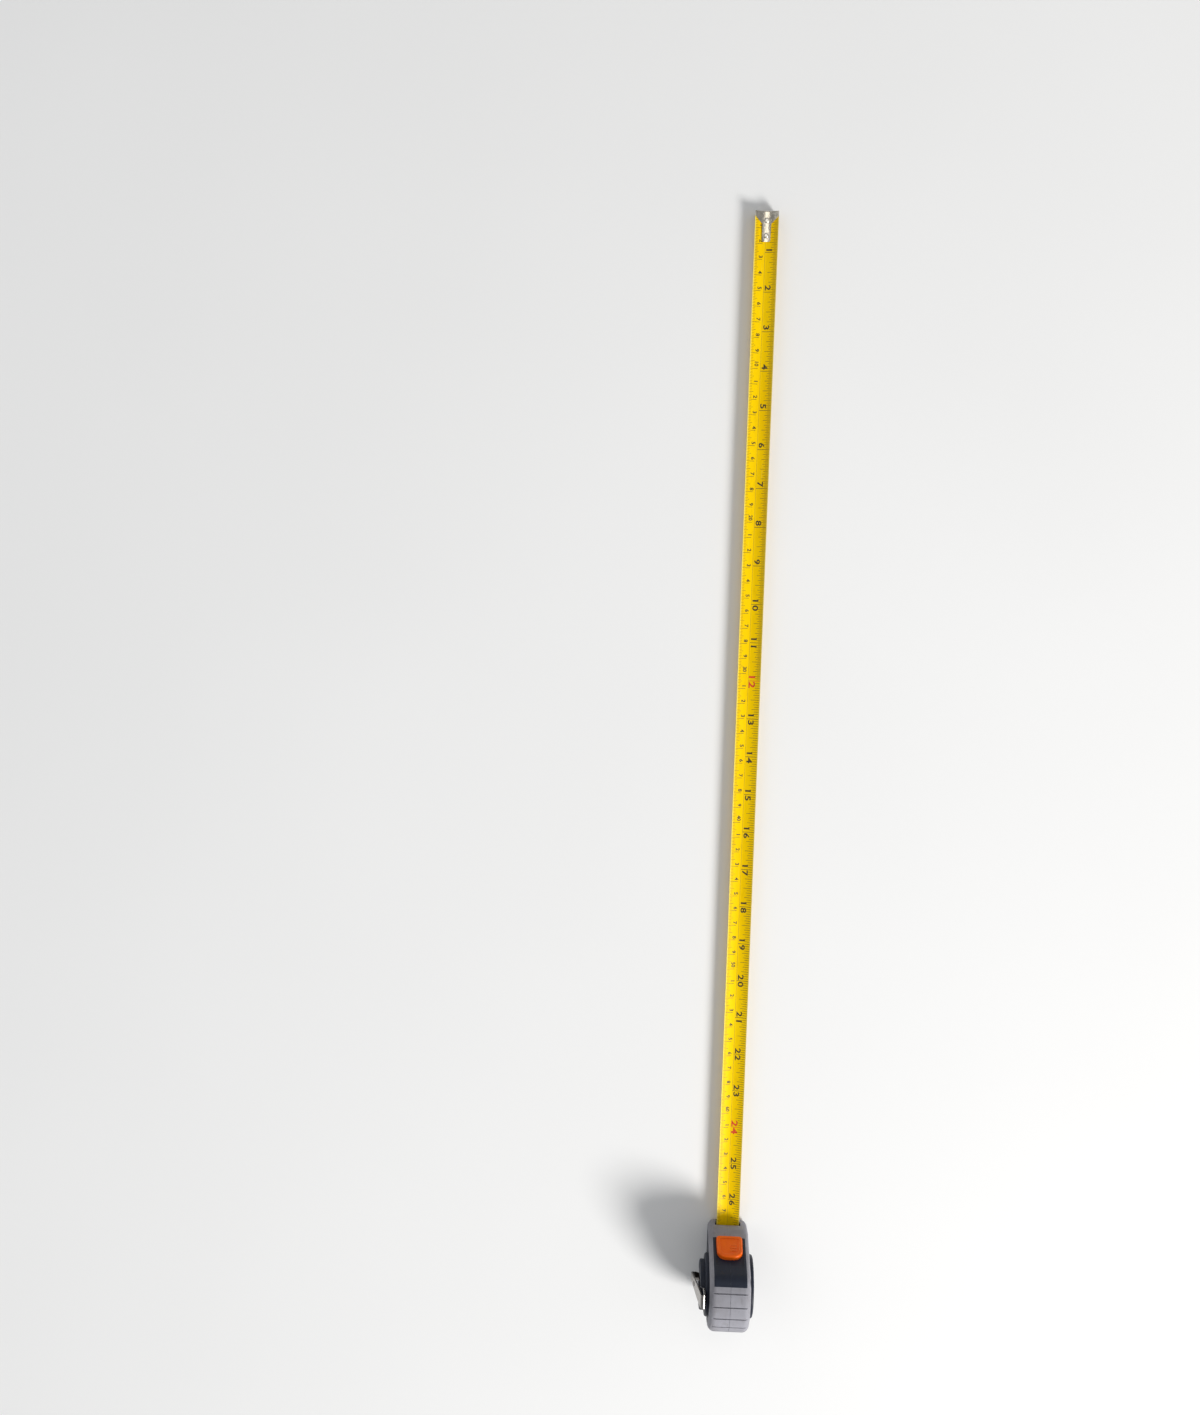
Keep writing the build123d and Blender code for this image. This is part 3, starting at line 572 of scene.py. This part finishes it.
def print_marks(bm, x_from, x_to):
    """All graduations whose place is between x_from and x_to. The inch scale is along the -Y edge, the metric one along +Y."""
    # inch scale
    n = 0
    while True:
        x = ZERO_X - n * 25.4 * MM / 32
        if x < x_from:
            break
        if x <= x_to and n > 0:
            if n % 32 == 0:
                length, w = 7.6 * MM, 0.32 * MM
            elif n % 16 == 0:
                length, w = 5.8 * MM, 0.26 * MM
            elif n % 8 == 0:
                length, w = 4.9 * MM, 0.25 * MM
            elif n % 4 == 0:
                length, w = 4.1 * MM, 0.24 * MM
            elif n % 2 == 0:
                length, w = 3.3 * MM, 0.23 * MM
            else:
                length, w = 2.3 * MM, 0.17 * MM
            if n % 2 == 0 or n < 12 * 32:
                if n % 32 == 0:
                    tick(bm, x, -EDGE_S, 0.2 * MM, w, RED if n // 32 % 12 == 0 else BLACK)
                else:
                    tick(bm, x, -EDGE_S, -EDGE_S + length, w, BLACK)
        n += 1
    # metric scale
    n = 0
    while True:
        x = ZERO_X - n * MM
        if x < x_from:
            break
        if x <= x_to and n > 0:
            if n % 10 == 0:
                length, w = 5.4 * MM, 0.26 * MM
            elif n % 5 == 0:
                length, w = 3.0 * MM, 0.22 * MM
            else:
                length, w = 2.0 * MM, 0.17 * MM
            tick(bm, x, EDGE_S, EDGE_S - length, w, BLACK)
        n += 1
    for inch in range(1, 27):
        x = ZERO_X - inch * 25.4 * MM
        red = inch % 12 == 0
        mat = RED if red else BLACK
        if inch < 10:
            place = x + (1.5 if inch == 1 else 2.75) * MM
            if x_from <= place <= x_to:
                numeral(bm, str(inch), place, -2.35 * MM, 3.9 * MM, mat, True, 1.35)
        else:
            a, b = str(inch)
            tall, off_by, wide = (4.3, 2.6, 1.55) if red else (3.9, 2.42, 1.45)
            for ch, off in ((a, off_by), (b, -off_by)):
                place = x + off * MM
                if x_from <= place <= x_to:
                    numeral(bm, ch, place, (-2.1 if red else -2.4) * MM, tall * MM, mat, True, wide)
    for cm in range(1, 68):
        x = ZERO_X - cm * 10 * MM
        place = x + 1.75 * MM
        if not x_from <= place <= x_to:
            continue
        if cm % 10 == 0:
            numeral(bm, str(cm), x + 2.9 * MM, 3.1 * MM, 2.7 * MM, BLACK, True)
        else:
            numeral(bm, str(cm % 10), place, 3.1 * MM, 2.7 * MM, BLACK, True, 1.05)


def finish_mesh(bm, name, mats):
    bmesh.ops.recalc_face_normals(bm, faces=bm.faces)
    me = bpy.data.meshes.new(name)
    bm.to_mesh(me)
    bm.free()
    for m in mats:
        me.materials.append(m)
    return me


def build_blade():
    bm = bmesh.new()
    x0 = REEL.x + 1.5 * MM
    lead_z = REEL.z - COIL_R - 0.35 * MM
    steps = 14
    xs = [x0 + (LEAD_X - x0) * k / steps for k in range(steps + 1)]
    n = 40
    xs += [LEAD_X + (JOINT_X - LEAD_X) * k / n for k in range(1, n + 1)]

    def sec(x):
        if x >= LEAD_X:
            return section_at(1.0, BLADE_Z)
        t = (x - x0) / (LEAD_X - x0)
        return section_at(t, lead_z + (BLADE_Z - lead_z) * t)

    strip_rows(bm, xs, sec)
    print_marks(bm, NOSE_X - 6 * MM, JOINT_X)
    line_along(bm, NOSE_X - 6 * MM, JOINT_X, 0.35 * MM, 0.22 * MM, SOFT)
    me = finish_mesh(bm, "blade_strip", [MATS["blade"], MATS["ink"], MATS["red"], MATS["soft"]])
    me.polygons.foreach_set("use_smooth", [p.material_index == 0 for p in me.polygons])
    o = new_object("blade_strip", me)
    return o


def build_blade_end():
    bm = bmesh.new()
    n = 12
    end = TIP_X - 0.06 * MM          # clear of the lip when the hook is pushed in
    xs = [JOINT_X + (end - 2.0 * MM - JOINT_X) * k / n for k in range(n + 1)]
    trims = [0.0] * len(xs)
    for dx, tr in ((1.2, 0.15), (0.7, 0.45), (0.3, 0.95), (0.08, 1.5), (0.0, 1.9)):
        xs.append(end - dx * MM)
        trims.append(tr * MM)

    def sec(x):
        return section_at(1.0, BLADE_Z, 28, trims[xs.index(x)])

    strip_rows(bm, xs, sec)
    # round holes for the rivets are under their heads, so the strip stays whole here
    print_marks(bm, JOINT_X, TIP_X - 2.2 * MM)
    line_along(bm, JOINT_X, ZERO_X - 19.2 * MM, 0.35 * MM, 0.22 * MM, SOFT)
    me = finish_mesh(bm, "blade_tip_strip", [MATS["blade"], MATS["ink"], MATS["red"], MATS["soft"]])
    me.polygons.foreach_set("use_smooth", [p.material_index == 0 for p in me.polygons])
    return new_object("blade_tip_strip", me)


def edge_split(o, angle=40):
    """Sharp edges stay sharp on a smooth-shaded mesh."""
    me = o.data
    bm = bmesh.new()
    bm.from_mesh(me)
    lim = math.radians(angle)
    for e in bm.edges:
        if len(e.link_faces) == 2 and e.calc_face_angle(0.0) > lim:
            e.smooth = False
    bm.to_mesh(me)
    bm.free()


blade = build_blade()
edge_split(blade)
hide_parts("blade")
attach(blade, "case")
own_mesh(blade)

tip = build_blade_end()
edge_split(tip)
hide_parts("blade_end")
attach(tip, "blade_tip")


# ---- the return spring: the coil turns with the reel, its inner end stays in the arbor's slot ----
def build_spring():
    r0, pitch, thick, turns, half = 5.0 * MM, 0.92 * MM, 0.30 * MM, 10, 6.6 * MM
    chamfer = 0.05 * MM
    rows = []

    def path(off):
        pts = []
        x = REEL.x + r0 + off
        for k in range(turns * 2):
            d = 1 if k % 2 == 0 else -1
            rr = r0 + off + pitch / 2 * (k + 0.5)
            cx = x - d * rr
            for j in range(26):
                a = math.pi * j / 26
                pts.append((cx + d * rr * math.cos(a), REEL.z + d * rr * math.sin(a)))
            x = cx - d * rr
        pts.append((x, REEL.z))
        return pts

    inner, outer = path(0.0), path(thick)
    bm = bmesh.new()
    loops = []
    for (xi, zi), (xo, zo) in zip(inner, outer):
        ux, uz = (xo - xi) / thick, (zo - zi) / thick
        ring = []
        for off, y in ((chamfer, -half), (0, -half + chamfer), (0, half - chamfer), (chamfer, half),
                       (thick - chamfer, half), (thick, half - chamfer), (thick, -half + chamfer), (thick - chamfer, -half)):
            ring.append(bm.verts.new((xi + ux * off, y, zi + uz * off)))
        loops.append(ring)
    for a, b in zip(loops, loops[1:]):
        for i in range(8):
            j = (i + 1) % 8
            bm.faces.new((a[i], a[j], b[j], b[i]))
    bm.faces.new(loops[0][::-1])
    bm.faces.new(loops[-1])
    me = finish_mesh(bm, "spring_coil", [MATS["spring"]])
    me.polygons.foreach_set("use_smooth", [True] * len(me.polygons))
    return new_object("spring_coil", me)


def build_tang():
    """The strip's inner end: straight in the arbor's slot, then turned to lead into the coil."""
    half, t = 6.6 * MM, 0.15 * MM
    line = [(2.2, 0.0), (2.9, 0.0), (3.6, 0.0), (4.15, 0.0), (4.45, 0.02), (4.66, 0.10), (4.78, 0.24), (4.83, 0.42)]
    line = [(REEL.x + x * MM, REEL.z + z * MM) for x, z in line]
    bm = bmesh.new()
    loops = []
    for i, (x, z) in enumerate(line):
        x0, z0 = line[max(0, i - 1)]
        x1, z1 = line[min(len(line) - 1, i + 1)]
        n = math.hypot(x1 - x0, z1 - z0)
        nx, nz = -(z1 - z0) / n, (x1 - x0) / n
        w = t if i < 5 else t * 0.8
        loops.append([bm.verts.new((x + nx * o, y, z + nz * o)) for o, y in ((-w, -half), (-w, half), (w, half), (w, -half))])
    for a, b in zip(loops, loops[1:]):
        for i in range(4):
            j = (i + 1) % 4
            bm.faces.new((a[i], a[j], b[j], b[i]))
    bm.faces.new(loops[0][::-1])
    bm.faces.new(loops[-1])
    me = finish_mesh(bm, "spring_inner_end", [MATS["spring"]])
    me.polygons.foreach_set("use_smooth", [True] * len(me.polygons))
    return new_object("spring_inner_end", me)


coil = build_spring()
edge_split(coil, 30)
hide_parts("return_spring")
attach(coil, "reel")
tang = build_tang()
edge_split(tang, 50)
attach(tang, "case")


# ---- floor and light ----------------------------------------------------------------
def make_floor():
    me = bpy.data.meshes.new("floor")
    s = 3.0
    me.from_pydata([(-s, -s, -0.0002), (s, -s, -0.0002), (s, s, -0.0002), (-s, s, -0.0002)], [], [(0, 1, 2, 3)])
    o = new_object("floor", me)
    m = Mat("floor")
    m.colour(m.ramp(m.noise(3.0, 2.0, 0.5), [(0.3, (0.80, 0.80, 0.80)), (0.7, (0.82, 0.82, 0.82))]))
    m.set(rough=0.9, spec=0.1)
    me.materials.append(m.m)


make_floor()


def area(name, loc, target, size, power, colour=(1, 1, 1)):
    d = bpy.data.lights.new(name, "AREA")
    d.shape = "DISK"
    d.size = size
    d.energy = power
    d.color = colour
    o = bpy.data.objects.new(name, d)
    scene.collection.objects.link(o)
    o.location = loc
    o.rotation_euler = (Vector(target) - Vector(loc)).to_track_quat("-Z", "Y").to_euler()
    return o


area("key", (-1.45, -1.98, 1.94), (0.25, 0, 0), 1.1, 112, (1.0, 0.985, 0.96))
area("top", (1.05, -0.10, 1.46), (0.70, 0, 0), 0.5, 1.7, (1.0, 0.96, 0.88))
area("fill", (0.6, 1.1, 1.4), (0.2, 0, 0), 1.0, 1.6, (0.93, 0.97, 1.0))

world = bpy.data.worlds.new("studio")
world.use_nodes = True
wt = world.node_tree
bg = wt.nodes["Background"]
coord = wt.nodes.new("ShaderNodeTexCoord")
parts = wt.nodes.new("ShaderNodeSeparateXYZ")
wt.links.new(coord.outputs["Generated"], parts.inputs[0])
sky = wt.nodes.new("ShaderNodeValToRGB")
stops = sky.color_ramp.elements
stops[0].position, stops[0].color = 0.0, (0.30, 0.31, 0.34, 1)
stops[1].position, stops[1].color = 1.0, (0.34, 0.35, 0.36, 1)
mid = stops.new(0.55)
mid.color = (0.56, 0.57, 0.58, 1)
wt.links.new(parts.outputs[2], sky.inputs["Fac"])
wt.links.new(sky.outputs["Color"], bg.inputs["Color"])
bg.inputs["Strength"].default_value = 0.9
scene.world = world
scene.view_settings.view_transform = "Standard"
scene.view_settings.look = "None"
scene.view_settings.exposure = 0.0
